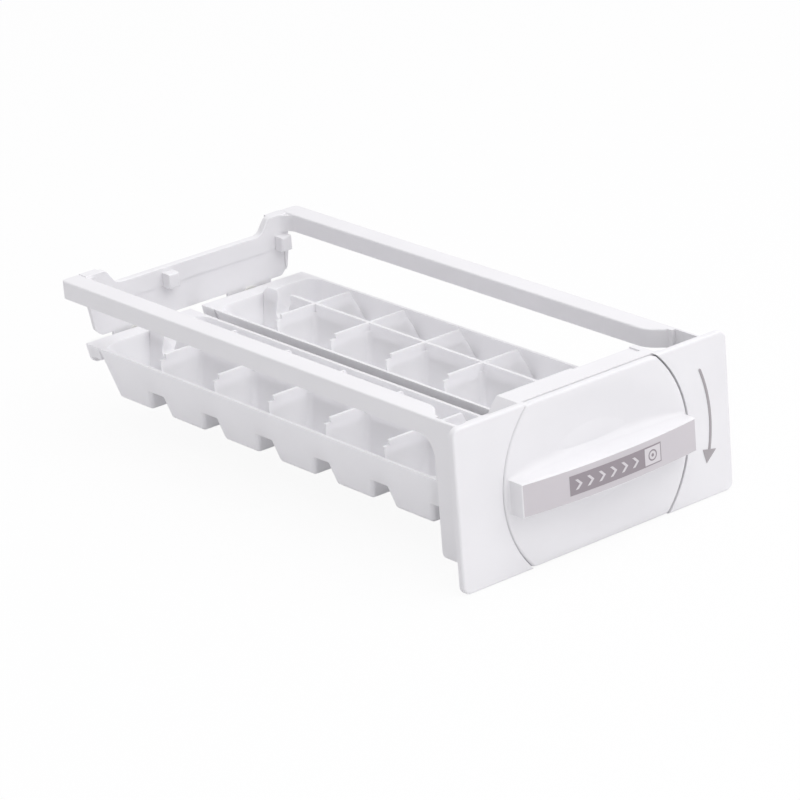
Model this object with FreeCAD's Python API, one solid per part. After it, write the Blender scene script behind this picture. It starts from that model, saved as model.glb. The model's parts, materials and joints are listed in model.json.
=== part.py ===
import FreeCAD, Part
import math
import os

# Twist-release ice cube tray unit for a refrigerator.
# A white frame hangs on two rails. A round knob in its front panel turns two ice trays over.
#
# Origin: midway between the two rail seats, at the back face of the front panel.
# +X is to the right for someone who faces the panel, +Y runs to the rear, +Z is up.
# Lengths are in millimetres and angles in degrees. Angles about +Y are counted from +X towards +Z.

V = FreeCAD.Vector

# Fits
running_gap = 0.05
loose_gap = 0.3
screw_gap = 0.05

# Front panel
panel_width = 155.0
panel_height = 74.7
panel_top = 11.2
panel_thickness = 3.0
panel_corner = 4.0
panel_edge = 1.1
arrow_inset = 12.0

# Knob, trays and rear pivots share this height
axis_z = -27.15

# Gears
gear_module = 1.3
ring_teeth = 74
pinion_teeth = 22
pressure_angle = 20.0
gear_width = 6.0
tooth_thinning = 0.08
segment_first_space = -1
segment_spaces = 10
segment_outer_r = 51.6
segment_flange_r = 38.0
segment_flange_t = 3.3

# Knob disc
disc_r = 52.6
disc_gap = 0.6
disc_thickness = 3.2
disc_top = 10.65
disc_bottom = -62.95
disc_corner = 4.0
disc_rim = 1.4
dish_depth = 4.5
dish_half_width = 48.0
dish_half_height = 34.0
dish_wall = 2.0
boss_r = 33.0

# Handle bar
bar_half_length = 49.5
bar_height = 15.4
bar_reach = 11.8
bar_end_reach = 8.2
bar_wall = 2.2
bar_edge = 0.5
bar_screw_x = 27.0
strip_thickness = 1.0
strip_rim = 0.5
label_length = 52.0
label_dark_length = 42.1
label_height = 8.9
label_centre_x = 0.5
label_inset = 0.3
label_stand = 0.1
mark_stand = 0.12

# Knob post, bush and return spring
post_r = 8.0
post_bush_wall = 2.5
washer_r = 12.0
washer_thickness = 1.2
spring_r = 13.0
spring_wire_r = 0.6
spring_turns = 4
spring_leg = 4.4

# Gear housing behind the knob
housing_wall = 1.5
housing_roof = 1.35
housing_floor_y = 12.0
housing_floor_t = 1.8
bulkhead_t = 2.7
bulkhead_drop = 26.8

# Side rails and front arms
rail_outer_x = 69.8
rail_inner_x = 59.2
rail_height = 8.7
rail_wall = 1.8
rail_end_y = 293.0
rail_edge = 0.8
arm_length = 19.5
arm_bottom = -53.95
arm_fillet = 10.0

# Rear cross wall
wall_y = 287.0
wall_t = 2.2
wall_top = 1.05
wall_bottom = -22.15
lip_depth = 3.7
lip_t = 1.6
stop_width = 6.3
stop_reach = 5.5
stop_low = 18.6
stop_high = 25.9
stop_from_axis = 17.3
lug_width = 26.0
lug_bottom = 8.5

# Trays, measured from their own axis
tray_half_width = 30.5
tray_rim = 4.4
tray_bottom = -20.0
side_draft = 0.2
cup_pitch = 41.1
cup_rows = 6
cup_bottom_half = 12.75
cup_mid_gap = 7.5
cup_wall = 1.5
cup_floor = 1.7
cup_corner = 2.4
cell_corner = 3.2
rear_cell_corner = 9.0
divider_t = 1.5
divider_top = 8.2
strip_bottom = -9.5
notch_from_end = 17.5
notch_half = 4.0
notch_bottom = -4.5
tray_front_y = 27.0
tray_front_t = 3.0
tray_ledge = 9.0
tray_end_t = 2.5
pivot_r = 3.0

# Screws
screw_r = 1.4
screw_head_r = 3.0
screw_head_t = 1.6

# Values worked out from the ones above
tray_x = gear_module * (ring_teeth - pinion_teeth) / 2
panel_bottom = panel_top - panel_height
disc_front = -panel_thickness
disc_back = disc_front + disc_thickness
housing_front_y = disc_back + loose_gap
housing_back_y = housing_floor_y + housing_floor_t
pocket_r = disc_r + disc_gap
boss_back = disc_front + dish_depth + dish_wall
pinion_front = boss_back + 1.0
pinion_back = pinion_front + gear_width
bulkhead_back = housing_back_y + bulkhead_t
rows_y = tray_front_y + tray_front_t
rows_end_y = rows_y + cup_rows * cup_pitch
tray_end_y = rows_end_y + tray_ledge
row_centres = [rows_y + cup_pitch * (i + 0.5) for i in range(cup_rows)]
divider_places = [rows_y + cup_pitch * (i + 1) for i in range(cup_rows - 1)]


# Small shape helpers

def box(x0, x1, y0, y1, z0, z1):
    return Part.makeBox(x1 - x0, y1 - y0, z1 - z0, V(x0, y0, z0))


def rod(x, z, r, y0, y1):
    """Round bar along Y."""
    return Part.makeCylinder(r, y1 - y0, V(x, y0, z), V(0, 1, 0))


def tube(x, z, r_out, r_in, y0, y1):
    return rod(x, z, r_out, y0, y1).cut(rod(x, z, r_in, y0, y1))


def corner_arc(before, corner, after, r):
    """Arc of radius r that rounds a corner, with the two points where it leaves the lines."""
    a = (before - corner).normalize()
    b = (after - corner).normalize()
    half = a.getAngle(b) / 2
    reach = r / math.tan(half)
    start = corner + a * reach
    end = corner + b * reach
    middle = corner + (a + b).normalize() * (r / math.sin(half) - r)
    return start, middle, end


def rounded_wire(points, radii):
    """Closed outline through the points. Each corner with a radius above zero becomes an arc."""
    n = len(points)
    edges = []
    ends = []
    for i in range(n):
        if radii[i] > 0:
            start, middle, end = corner_arc(points[i - 1], points[i], points[(i + 1) % n], radii[i])
            edges.append(Part.Arc(start, middle, end).toShape())
            ends.append((start, end))
        else:
            ends.append((points[i], points[i]))
    for i in range(n):
        start = ends[i][1]
        end = ends[(i + 1) % n][0]
        if start.distanceToPoint(end) > 1e-6:
            edges.append(Part.LineSegment(start, end).toShape())
    return Part.Wire(Part.__sortEdges__(edges))


def plate_y(xz, y0, y1, radii=None):
    """Plate with an outline in X and Z, from y0 to y1."""
    points = [V(x, y0, z) for x, z in xz]
    wire = rounded_wire(points, radii or [0] * len(points))
    return Part.Face(wire).extrude(V(0, y1 - y0, 0))


def plate_z(xy, z0, z1, radii=None):
    """Plate with an outline in X and Y, from z0 to z1."""
    points = [V(x, y, z0) for x, y in xy]
    wire = rounded_wire(points, radii or [0] * len(points))
    return Part.Face(wire).extrude(V(0, 0, z1 - z0))


def plate_x(yz, x0, x1, radii=None):
    """Plate with an outline in Y and Z, from x0 to x1."""
    points = [V(x0, y, z) for y, z in yz]
    wire = rounded_wire(points, radii or [0] * len(points))
    return Part.Face(wire).extrude(V(x1 - x0, 0, 0))


def join(shapes):
    whole = shapes[0].multiFuse(shapes[1:]) if len(shapes) > 1 else shapes[0]
    return whole.removeSplitter()


def moved(shape, x=0.0, y=0.0, z=0.0):
    copy = shape.copy()
    copy.translate(V(x, y, z))
    return copy


def mirrored(shape):
    """The same shape on the other side of the middle."""
    return shape.mirror(V(0, 0, 0), V(1, 0, 0))


def turned(shape, angle, x=0.0, z=0.0):
    """Shape turned about the line along Y through x and z, from +X towards +Z."""
    copy = shape.copy()
    copy.rotate(V(x, 0, z), V(0, 1, 0), -angle)
    return copy


def single(shape):
    """The one solid that a boolean result holds."""
    return shape.Solids[0] if len(shape.Solids) == 1 else shape


def edges_where(shape, chooser):
    return [e for e in shape.Edges if chooser(e, e.BoundBox)]


def screw(x, y, z, length, towards=-1, r=screw_r, head_r=screw_head_r, head_t=screw_head_t):
    """Screw along Y. Its head's underside is at y, and its shank runs length the way of towards."""
    shank_ends = sorted((y, y + towards * length))
    head_ends = sorted((y, y - towards * head_t))
    shank = rod(x, z, r, *shank_ends)
    head = rod(x, z, head_r, *head_ends)
    rim = edges_where(head, lambda e, b: abs(b.YMin - (y - towards * head_t)) < 1e-6
                      and b.YLength < 1e-6)
    head = head.makeFillet(head_t * 0.4, rim[:1])
    slot_y = sorted((y - towards * head_t, y - towards * head_t * 0.5))
    reach = head_r * 0.55
    bit = 0.35
    cross = join([box(x - reach, x + reach, *slot_y, z - bit, z + bit),
                  box(x - bit, x + bit, *slot_y, z - reach, z + reach)])
    return single(join([shank, head]).cut(cross))


# Gears

def involute_point(base_r, r, half_angle_at_base, side):
    """Point of an involute flank at radius r, beside a tooth whose centre line is at angle 0."""
    turn = math.sqrt((r / base_r) ** 2 - 1)
    angle = half_angle_at_base - (turn - math.atan(turn))
    return V(r * math.cos(side * angle), 0, r * math.sin(side * angle))


def tooth_outline(teeth, root_r, tip_r, widen):
    """Edges of one tooth with its root gap after it, for a tooth centred at angle 0."""
    pitch_r = gear_module * teeth / 2
    base_r = pitch_r * math.cos(math.radians(pressure_angle))
    pitch_turn = math.tan(math.radians(pressure_angle)) - math.radians(pressure_angle)
    half_angle = math.pi / (2 * teeth) + widen / (2 * pitch_r) + pitch_turn
    start_r = max(base_r, root_r)
    radii = [start_r, (start_r + tip_r) / 2, tip_r]
    rise = [involute_point(base_r, r, half_angle, -1) for r in radii]
    fall = [involute_point(base_r, r, half_angle, 1) for r in reversed(radii)]
    edges = []
    if base_r > root_r:
        foot = V(rise[0]).normalize() * root_r
        edges.append(Part.LineSegment(foot, rise[0]).toShape())
    edges.append(Part.Arc(*rise).toShape())
    edges.append(Part.Arc(rise[-1], V(tip_r, 0, 0), fall[0]).toShape())
    edges.append(Part.Arc(*fall).toShape())
    last = fall[-1]
    if base_r > root_r:
        foot = V(fall[-1]).normalize() * root_r
        edges.append(Part.LineSegment(fall[-1], foot).toShape())
        last = foot
    pitch = 2 * math.pi / teeth
    half_root = math.atan2(last.z, last.x)
    next_foot = V(root_r * math.cos(pitch - half_root), 0, root_r * math.sin(pitch - half_root))
    middle = V(root_r * math.cos(pitch / 2), 0, root_r * math.sin(pitch / 2))
    edges.append(Part.Arc(last, middle, next_foot).toShape())
    return edges


def toothed_disc(teeth, root_r, tip_r, widen, y0, y1):
    """Whole toothed disc about the Y axis, with one tooth centred on +X."""
    edges = []
    for i in range(teeth):
        for edge in tooth_outline(teeth, root_r, tip_r, widen):
            edges.append(turned(edge, 360.0 * i / teeth))
    face = Part.Face(Part.Wire(edges))
    return moved(face.extrude(V(0, y1 - y0, 0)), y=y0)


def space_cutter(y0, y1):
    """One gap between two teeth of the ring gear, centred on +X."""
    pitch_r = gear_module * ring_teeth / 2
    edges = tooth_outline(ring_teeth, pitch_r - 2.2, pitch_r + 1.05 * gear_module, tooth_thinning)[:3]
    start = edges[0].Vertexes[0].Point
    end = edges[2].Vertexes[-1].Point
    if edges[2].Vertexes[0].Point.Length < edges[2].Vertexes[-1].Point.Length:
        end = edges[2].Vertexes[0].Point
    edges.append(Part.LineSegment(end, start).toShape())
    face = Part.Face(Part.Wire(Part.__sortEdges__(edges)))
    return moved(face.extrude(V(0, y1 - y0, 0)), y=y0)


def ring_sector(r_in, r_out, first, last, y0, y1):
    """Part of a flat ring about the Y axis, between two angles."""
    def at(r, angle):
        a = math.radians(angle)
        return V(r * math.cos(a), y0, r * math.sin(a))
    middle = (first + last) / 2
    edges = [Part.Arc(at(r_out, first), at(r_out, middle), at(r_out, last)).toShape(),
             Part.LineSegment(at(r_out, last), at(r_in, last)).toShape(),
             Part.Arc(at(r_in, last), at(r_in, middle), at(r_in, first)).toShape(),
             Part.LineSegment(at(r_in, first), at(r_out, first)).toShape()]
    return Part.Face(Part.Wire(edges)).extrude(V(0, y1 - y0, 0))


def segment_angles():
    pitch = 360.0 / ring_teeth
    first = (segment_first_space - 0.5) * pitch
    return first, first + segment_spaces * pitch


def segment_screw_places():
    """Screws of the right segment, as places from the knob's axis."""
    first, last = segment_angles()
    r = segment_flange_r + 4.0
    places = []
    for angle in (first + 9.0, last - 9.0):
        a = math.radians(angle)
        places.append((r * math.cos(a), r * math.sin(a)))
    return places


def gear_segment():
    """Right segment of the knob's internal gear, about the Y axis."""
    first, last = segment_angles()
    tip_r = gear_module * (ring_teeth / 2 - 0.8)
    body = join([ring_sector(tip_r, segment_outer_r, first, last, disc_back, pinion_back),
                 ring_sector(segment_flange_r, segment_outer_r, first, last,
                             disc_back, disc_back + segment_flange_t)])
    pitch = 360.0 / ring_teeth
    cutter = space_cutter(disc_back + segment_flange_t, pinion_back)
    gaps = [turned(cutter, (segment_first_space + i) * pitch) for i in range(segment_spaces)]
    body = body.cut(Part.makeCompound(gaps))
    sunk = disc_back + segment_flange_t - screw_head_t
    for x, z in segment_screw_places():
        body = body.cut(rod(x, z, screw_r + screw_gap, disc_back, sunk))
        body = body.cut(rod(x, z, screw_head_r - 0.4 + screw_gap, sunk, disc_back + segment_flange_t))
    return single(body)


def gear_segments():
    right = gear_segment()
    both = [right, turned(right, 180)]
    return Part.makeCompound([moved(s, z=axis_z) for s in both])


def gear_segment_screws():
    sunk = disc_back + segment_flange_t - screw_head_t
    right = [screw(x, sunk, z, segment_flange_t - screw_head_t + 1.1, head_r=screw_head_r - 0.4)
             for x, z in segment_screw_places()]
    every = right + [turned(s, 180) for s in right]
    return Part.makeCompound([moved(s, z=axis_z) for s in every])


# Knob

def dish_cutter():
    """Shallow scoop in the disc's face, as deep as dish_depth in the middle."""
    side_r = (dish_half_width ** 2 + dish_depth ** 2) / (2 * dish_depth)
    pivot_y = disc_front + dish_depth - side_r
    a = V(0, disc_front - 2.0, -dish_half_height)
    b = V(0, disc_front, -dish_half_height)
    c = V(0, disc_front + dish_depth, 0)
    d = V(0, disc_front, dish_half_height)
    e = V(0, disc_front - 2.0, dish_half_height)
    edges = [Part.LineSegment(a, b).toShape(), Part.Arc(b, c, d).toShape(),
             Part.LineSegment(d, e).toShape(), Part.LineSegment(e, a).toShape()]
    face = Part.Face(Part.Wire(edges))
    sweep = 2 * math.degrees(math.asin(dish_half_width / side_r)) + 2
    face.rotate(V(0, pivot_y, 0), V(0, 0, 1), -sweep / 2)
    return moved(face.revolve(V(0, pivot_y, 0), V(0, 0, 1), sweep), z=axis_z)


def disc_plate(y0, y1, inset=0.0):
    """The knob's outline: a circle cut off flat above and below, with rounded corners."""
    r = disc_r - inset
    round_plate = rod(0, axis_z, r, y0, y1)
    band = box(-r, r, y0, y1, disc_bottom + inset, disc_top - inset)
    plate = round_plate.common(band)
    corners = edges_where(plate, lambda e, b: b.YLength > 0.9 * (y1 - y0) and b.XLength < 1e-3)
    return plate.makeFillet(disc_corner, corners)


def bar_screw_places():
    return [-bar_screw_x, bar_screw_x]


def knob_disc():
    plate = disc_plate(disc_front, disc_back)
    front = edges_where(plate, lambda e, b: abs(b.YMax - disc_front) < 1e-3)
    plate = plate.makeFillet(disc_rim, front)
    backing = rod(0, axis_z, boss_r, disc_back, boss_back)
    body = join([plate, backing]).cut(dish_cutter())
    post_end = bulkhead_back + post_bush_flange + running_gap
    body = join([body, rod(0, axis_z, post_r, disc_back + 2.0, post_end)])
    body = body.cut(rod(0, axis_z, screw_r + screw_gap, post_end - 8.0, post_end))
    for x in bar_screw_places():
        body = body.cut(rod(x, axis_z, screw_r + screw_gap, disc_front, boss_back))
        body = body.cut(rod(x, axis_z, screw_head_r + screw_gap, boss_back - screw_head_t, boss_back))
    right = segment_screw_places()
    for x, z in right + [(-x, -z) for x, z in right]:
        body = body.cut(rod(x, axis_z + z, screw_r + screw_gap, disc_back - 1.2, disc_back))
    leg_side = axis_z - spring_wire_r - loose_gap
    lug = box(spring_r + 1.2, spring_r + spring_leg, boss_back, boss_back + 2.2, leg_side - 2.0, leg_side)
    return single(join([body, lug]))


def bow_radius(rise):
    return (bar_half_length ** 2 + rise ** 2) / (2 * rise)


def bowed_block(half_x, low_z, high_z, front_inset, back_y, centre_x=0.0):
    """Block whose front follows the bar's bowed face, set back by front_inset."""
    rise = bar_reach - bar_end_reach
    face_r = bow_radius(rise) - front_inset
    tip_y = disc_front - bar_reach + front_inset
    centre_y = tip_y + face_r

    def face_y(x):
        return centre_y - math.sqrt(face_r ** 2 - x ** 2)
    x0 = centre_x - half_x
    x1 = centre_x + half_x
    a = V(x0, back_y, low_z)
    b = V(x0, face_y(x0), low_z)
    c = V(centre_x, face_y(centre_x), low_z)
    d = V(x1, face_y(x1), low_z)
    e = V(x1, back_y, low_z)
    edges = [Part.LineSegment(a, b).toShape(), Part.Arc(b, c, d).toShape(),
             Part.LineSegment(d, e).toShape(), Part.LineSegment(e, a).toShape()]
    return Part.Face(Part.Wire(edges)).extrude(V(0, 0, high_z - low_z))


def bar_floor():
    """Everything in front of the disc's dished face."""
    room = box(-disc_r, disc_r, disc_front - 20, disc_front, disc_bottom, disc_top)
    return join([room, dish_cutter()])


def handle_bar():
    half = bar_height / 2
    block = bowed_block(bar_half_length, axis_z - half, axis_z + half, 0, disc_front + dish_depth)
    front = edges_where(block, lambda e, b: b.YMax < disc_front - bar_end_reach + 1e-3)
    block = block.makeFillet(bar_edge, front)
    bar = block.common(bar_floor())
    recess = bowed_block(bar_half_length - strip_rim, axis_z - half + strip_rim,
                         axis_z + half - strip_rim, -1.0, disc_front)
    shell = bowed_block(bar_half_length + 1, axis_z - half - 1, axis_z + half + 1,
                        strip_thickness, disc_front + dish_depth)
    bar = bar.cut(recess.cut(shell))
    hollow = bowed_block(bar_half_length - bar_wall, axis_z - half + bar_wall,
                         axis_z + half - bar_wall, strip_thickness, disc_front - 0.8)
    for x in bar_screw_places():
        hollow = hollow.cut(rod(x, axis_z, screw_head_r, disc_front - 20, disc_front + 5))
    bar = bar.cut(hollow)
    for x in bar_screw_places():
        bar = bar.cut(rod(x, axis_z, screw_r + screw_gap, disc_front - 4.5, boss_back))
    return single(bar)


def handle_strip():
    half = bar_height / 2 - strip_rim
    strip = bowed_block(bar_half_length - strip_rim, axis_z - half, axis_z + half, 0, disc_front)
    keep = bowed_block(bar_half_length + 1, axis_z - half - 1, axis_z + half + 1,
                       strip_thickness, disc_front + dish_depth)
    strip = strip.cut(keep)
    return single(strip.cut(label_block(0)))


def label_block(stand):
    """The label plate in its recess, standing proud of the strip by stand."""
    half = label_height / 2
    outer = bowed_block(label_length / 2, axis_z - half, axis_z + half, -stand,
                        disc_front, label_centre_x)
    inner = bowed_block(label_length, axis_z - half - 1, axis_z + half + 1,
                        label_inset, disc_front + 1, label_centre_x)
    return outer.cut(inner)


def label_dark_end():
    """Right end of the label's dark field. A light square follows it."""
    return label_centre_x - label_length / 2 + label_dark_length


def label_field():
    """Light square at the right end of the label, inside a thin dark frame."""
    frame_width = 0.6
    x0 = label_dark_end()
    x1 = label_centre_x + label_length / 2 - frame_width
    half = label_height / 2 - frame_width
    return x0, x1, axis_z - half, axis_z + half


def on_label(x0, x1, z0, z1, stand):
    """Thin piece on the label's face between two heights above the strip."""
    room = box(x0, x1, disc_front - 20, disc_front, z0, z1)
    outer = bowed_block(bar_half_length, z0 - 1, z1 + 1, -stand, disc_front)
    inner = bowed_block(bar_half_length, z0 - 2, z1 + 2, -label_stand, disc_front + 1)
    return outer.cut(inner).common(room)


def label_plate():
    return single(label_block(label_stand))


def label_marks():
    """Generic marks: a row of chevrons, and a square field with a ring and a dot in it."""
    skin = on_label(label_centre_x - label_length / 2, label_centre_x + label_length / 2,
                    axis_z - label_height / 2, axis_z + label_height / 2,
                    label_stand + mark_stand)
    count = 6
    size = 2.3
    stroke = 1.5
    pitch = label_dark_length / (count + 0.6)
    start = label_dark_end() - label_dark_length
    pieces = []
    for i in range(count):
        x = start + pitch * (i + 0.8)
        xz = [(x - size, axis_z + size), (x - size + stroke, axis_z + size), (x + stroke, axis_z),
              (x - size + stroke, axis_z - size), (x - size, axis_z - size), (x, axis_z)]
        pieces.append(single(skin.common(plate_y(xz, disc_front - 20, disc_front))))
    x0, x1, z0, z1 = label_field()
    field = skin.common(box(x0, x1, disc_front - 20, disc_front, z0, z1))
    centre = (x0 + x1) / 2
    ring = tube(centre, axis_z, 2.6, 1.9, disc_front - 20, disc_front)
    dot = rod(centre, axis_z, 0.8, disc_front - 20, disc_front)
    pieces.append(single(field.cut(join([ring, dot]))))
    return Part.makeCompound(pieces)


def handle_screws():
    """From behind, through the disc into the bar's bosses, with their heads sunk in the disc."""
    seat = boss_back - screw_head_t
    return Part.makeCompound([screw(x, seat, axis_z, seat - disc_front + 4.0)
                              for x in bar_screw_places()])


# Gear housing values that the knob's post needs
post_bush_flange = 1.3


def knob_bush():
    hole = post_r + running_gap
    sleeve = tube(0, axis_z, post_r + post_bush_wall, hole, housing_floor_y, bulkhead_back)
    flange = tube(0, axis_z, post_r + post_bush_wall + 2.5, hole,
                  bulkhead_back, bulkhead_back + post_bush_flange)
    return single(join([sleeve, flange]))


def knob_washer():
    y0 = bulkhead_back + post_bush_flange + running_gap
    return single(tube(0, axis_z, washer_r, screw_r + screw_gap, y0, y0 + washer_thickness))


def knob_screw():
    y0 = bulkhead_back + post_bush_flange + running_gap + washer_thickness
    return screw(0, y0, axis_z, 8.0, head_r=4.2, head_t=2.2)


def return_spring():
    """Torsion spring round the post: quarter-turn arcs that climb steadily, with a leg at each end."""
    length = housing_floor_y - boss_back - 2 * loose_gap - 2 * spring_wire_r
    steps = 8 * spring_turns

    def on_coil(i):
        angle = 2 * math.pi * i / 8
        return V(spring_r * math.cos(angle), length * i / steps, spring_r * math.sin(angle))
    path = Part.Wire([Part.Arc(on_coil(i), on_coil(i + 1), on_coil(i + 2)).toShape()
                      for i in range(0, steps, 2)])
    section = Part.Wire(Part.makeCircle(spring_wire_r, V(spring_r, 0, 0), V(0, 0, 1)).Edges)
    coil = path.makePipeShell([section], True, False)
    legs = [Part.makeCylinder(spring_wire_r, spring_leg + 0.4, V(spring_r - 0.4, y, 0), V(1, 0, 0))
            for y in (0, length)]
    spring = coil.multiFuse(legs)
    return single(moved(spring, y=boss_back + loose_gap + spring_wire_r, z=axis_z))


# Front panel and gear housing

def arm_tab_places():
    """Screws that hold the arms to the panel, as X and Z on the right side."""
    x = (segment_tab_inner() + rail_outer_x - rail_wall) / 2
    return [(x, -4.0), (x, arm_bottom + 6.0)]


def segment_tab_inner():
    """Inner edge of the arm's tabs, clear of the knob's round pocket."""
    return pocket_r + housing_wall + 3.1


def case_screw_places():
    """Screws that hold the bulkhead to the housing, as X and Z on the right side."""
    r = pocket_r + 4.4
    rise = 25.0
    x = math.sqrt(r ** 2 - rise ** 2)
    return [(x, axis_z + rise), (x, axis_z - rise)]


def both_sides(places):
    return places + [(-x, z) for x, z in places]


def front_panel():
    half = panel_width / 2
    outline = [(-half, panel_bottom), (half, panel_bottom), (half, panel_top), (-half, panel_top)]
    plate = plate_y(outline, -panel_thickness, 0, [panel_corner] * 4)
    front = edges_where(plate, lambda e, b: abs(b.YMax + panel_thickness) < 1e-3)
    plate = plate.makeFillet(panel_edge, front)
    outer_r = pocket_r + housing_wall
    inside_top = panel_top - housing_roof
    inside_bottom = panel_bottom + housing_roof
    slab = box(-outer_r, outer_r, -panel_edge, housing_back_y, panel_bottom, panel_top)
    cup = rod(0, axis_z, outer_r, -panel_edge, housing_back_y).common(slab)
    bosses = [rod(x, z, 3.5, -0.5, housing_back_y) for x, z in both_sides(case_screw_places())]
    bosses += [rod(x, z, 3.0, -0.5, rail_wall) for x, z in both_sides(arm_tab_places())]
    body = join([plate, cup] + bosses)
    body = body.cut(rod(0, axis_z, pocket_r, -panel_thickness, housing_front_y))
    room = rod(0, axis_z, pocket_r, housing_front_y, housing_floor_y)
    body = body.cut(room.common(box(-pocket_r, pocket_r, housing_front_y, housing_floor_y,
                                    inside_bottom, inside_top)))
    body = body.cut(rod(0, axis_z, post_r + post_bush_wall, housing_floor_y, housing_back_y))
    for side in (-1, 1):
        body = body.cut(rod(side * tray_x, axis_z, shaft_bush_r + 0.2, housing_floor_y, housing_back_y))
    peg_z = axis_z + spring_wire_r + loose_gap
    peg = box(spring_r + 1.2, spring_r + spring_leg, housing_floor_y - 2.2, housing_floor_y + 0.5,
              peg_z, peg_z + 2.0)
    body = join([body, peg])
    roof_step = box(2.5, 36.0, 6.5, housing_back_y, panel_top - 0.7, panel_top)
    body = body.cut(roof_step)
    for x, z in both_sides(case_screw_places()):
        body = body.cut(rod(x, z, screw_r + screw_gap, housing_back_y - 8.0, housing_back_y))
    for x, z in both_sides(arm_tab_places()):
        body = body.cut(rod(x, z, screw_r + screw_gap, -1.8, rail_wall))
    return single(body)


def direction_arrow():
    """Curved arrow on the panel's right wing that points the way the knob turns."""
    arc_r = panel_width / 2 - arrow_inset
    stroke = 2.0
    head_width = 9.0
    first, last, tip = 21.5, -12.0, -17.5
    raised = 0.25
    y0 = -panel_thickness - raised
    y1 = -panel_thickness
    band = ring_sector(arc_r - stroke / 2, arc_r + stroke / 2, last, first, y0, y1)

    def at(r, angle):
        a = math.radians(angle)
        return (r * math.cos(a), r * math.sin(a))
    head = plate_y([at(arc_r - head_width / 2, last), at(arc_r + head_width / 2, last),
                    at(arc_r - 0.6, tip)], y0, y1)
    cap = rod(*at(arc_r, first), stroke / 2, y0, y1)
    return single(moved(join([band, head, cap]), z=axis_z))


def gear_case():
    """Bulkhead behind the housing floor, between the two arms."""
    half = rail_outer_x - rail_wall - loose_gap
    ears = [(-half, arm_bottom), (half, arm_bottom), (half, -12.0), (-half, -12.0)]
    middle_half = segment_tab_inner()
    middle = [(-middle_half, axis_z - bulkhead_drop - 3.5), (middle_half, axis_z - bulkhead_drop - 3.5),
              (middle_half, 3.5), (-middle_half, 3.5)]
    body = join([plate_y(ears, housing_back_y, bulkhead_back, [2.0] * 4),
                 plate_y(middle, housing_back_y, bulkhead_back, [4.0] * 4)])
    rib = 1.6
    for x in (-0.5 * tray_x, 0.5 * tray_x):
        body = join([body, box(x - rib / 2, x + rib / 2, bulkhead_back, bulkhead_back + 4.0,
                               axis_z - bulkhead_drop, axis_z + bulkhead_drop)])
    body = body.cut(rod(0, axis_z, post_r + post_bush_wall, housing_back_y, bulkhead_back))
    body = body.cut(rod(0, axis_z, washer_r + 3.0, bulkhead_back, bulkhead_back + 5))
    for side in (-1, 1):
        body = body.cut(rod(side * tray_x, axis_z, shaft_bush_r, housing_back_y, bulkhead_back))
    for x, z in both_sides(case_screw_places()):
        body = body.cut(rod(x, z, screw_r + screw_gap, housing_back_y, bulkhead_back))
    return single(body)


def case_screws():
    return Part.makeCompound([screw(x, bulkhead_back, z, bulkhead_t + 7.0)
                              for x, z in both_sides(case_screw_places())])


def panel_screws():
    return Part.makeCompound([screw(x, rail_wall, z, rail_wall + 1.5, head_r=screw_head_r + 0.8)
                              for x, z in both_sides(arm_tab_places())])


# Side rails

def right_side_rail():
    taper = [(rail_outer_x, arm_length - 3.0), (rail_outer_x, rail_end_y),
             (rail_inner_x, rail_end_y), (rail_inner_x, arm_length + 10.5),
             (rail_outer_x - 3.8, arm_length + 2.5), (rail_outer_x - 3.8, arm_length),
             (rail_outer_x - rail_wall, arm_length), (rail_outer_x - rail_wall, arm_length - 3.0)]
    rail = plate_z(taper, 0, rail_height, [0, 3.0, 0, 12.0, 0, 0, 0, 0])
    top = edges_where(rail, lambda e, b: abs(b.ZMin - rail_height) < 1e-3 and b.YLength > 1
                      and b.YMin > arm_length - 4)
    rail = rail.makeFillet(rail_edge, [e for e in top if e.BoundBox.YLength > 100])
    channel = plate_z([(rail_outer_x - rail_wall, arm_length + 12.0),
                       (rail_outer_x - rail_wall, rail_end_y - 9.0),
                       (rail_inner_x + rail_wall, rail_end_y - 9.0),
                       (rail_inner_x + rail_wall, arm_length + 12.0)], 0, rail_height - rail_wall)
    tail = box(rail_inner_x, rail_outer_x - rail_wall, rail_end_y - 3.6, rail_end_y,
               0, rail_height - rail_wall)
    hidden = rail_outer_x - rail_wall
    arm_points = [(0, rail_height), (0, arm_bottom), (arm_length, arm_bottom),
                  (arm_length, 0), (arm_length + arm_fillet + 8, 0),
                  (arm_length + arm_fillet + 8, rail_height)]
    arm = plate_x(arm_points, hidden, rail_outer_x, [0, 0, 2.0, arm_fillet, 0, 0])
    arm_top = edges_where(arm, lambda e, b: b.ZMin > rail_height - 1e-3 and b.YLength > 10
                          and b.XMin > rail_outer_x - 1e-3)
    arm = arm.makeFillet(rail_edge, arm_top)
    tabs = []
    for x, z in arm_tab_places():
        tabs.append(plate_y([(segment_tab_inner(), z - 5.0), (hidden, z - 5.0), (hidden, z + 5.0),
                             (segment_tab_inner(), z + 5.0)], 0, rail_wall, [2.0, 0, 0, 2.0]))
    body = join([rail.cut(channel).cut(tail), arm] + tabs)
    for x, z in arm_tab_places():
        body = body.cut(rod(x, z, 3.0 + screw_gap, 0, rail_wall))
    x, z = rear_screw_place()
    return single(body.cut(rod(x, z, screw_r + screw_gap, rail_end_y - 9.0, rail_end_y - 3.6)))


def rear_screw_place():
    return (rail_inner_x + rail_outer_x) / 2, (rail_height - rail_wall) / 2


# Rear cross wall

def wall_half_outline():
    """Right half of the cross wall, from the middle of its top to the middle of its bottom."""
    return [(0, wall_top), (42.5, wall_top), (48.0, rail_height),
            (rail_inner_x, rail_height), (rail_inner_x, 0), (rail_inner_x - 0.2, -7.15),
            (rail_inner_x - 2.2, wall_bottom + 3.5), (rail_inner_x - 5.8, wall_bottom), (0, wall_bottom)]


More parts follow.
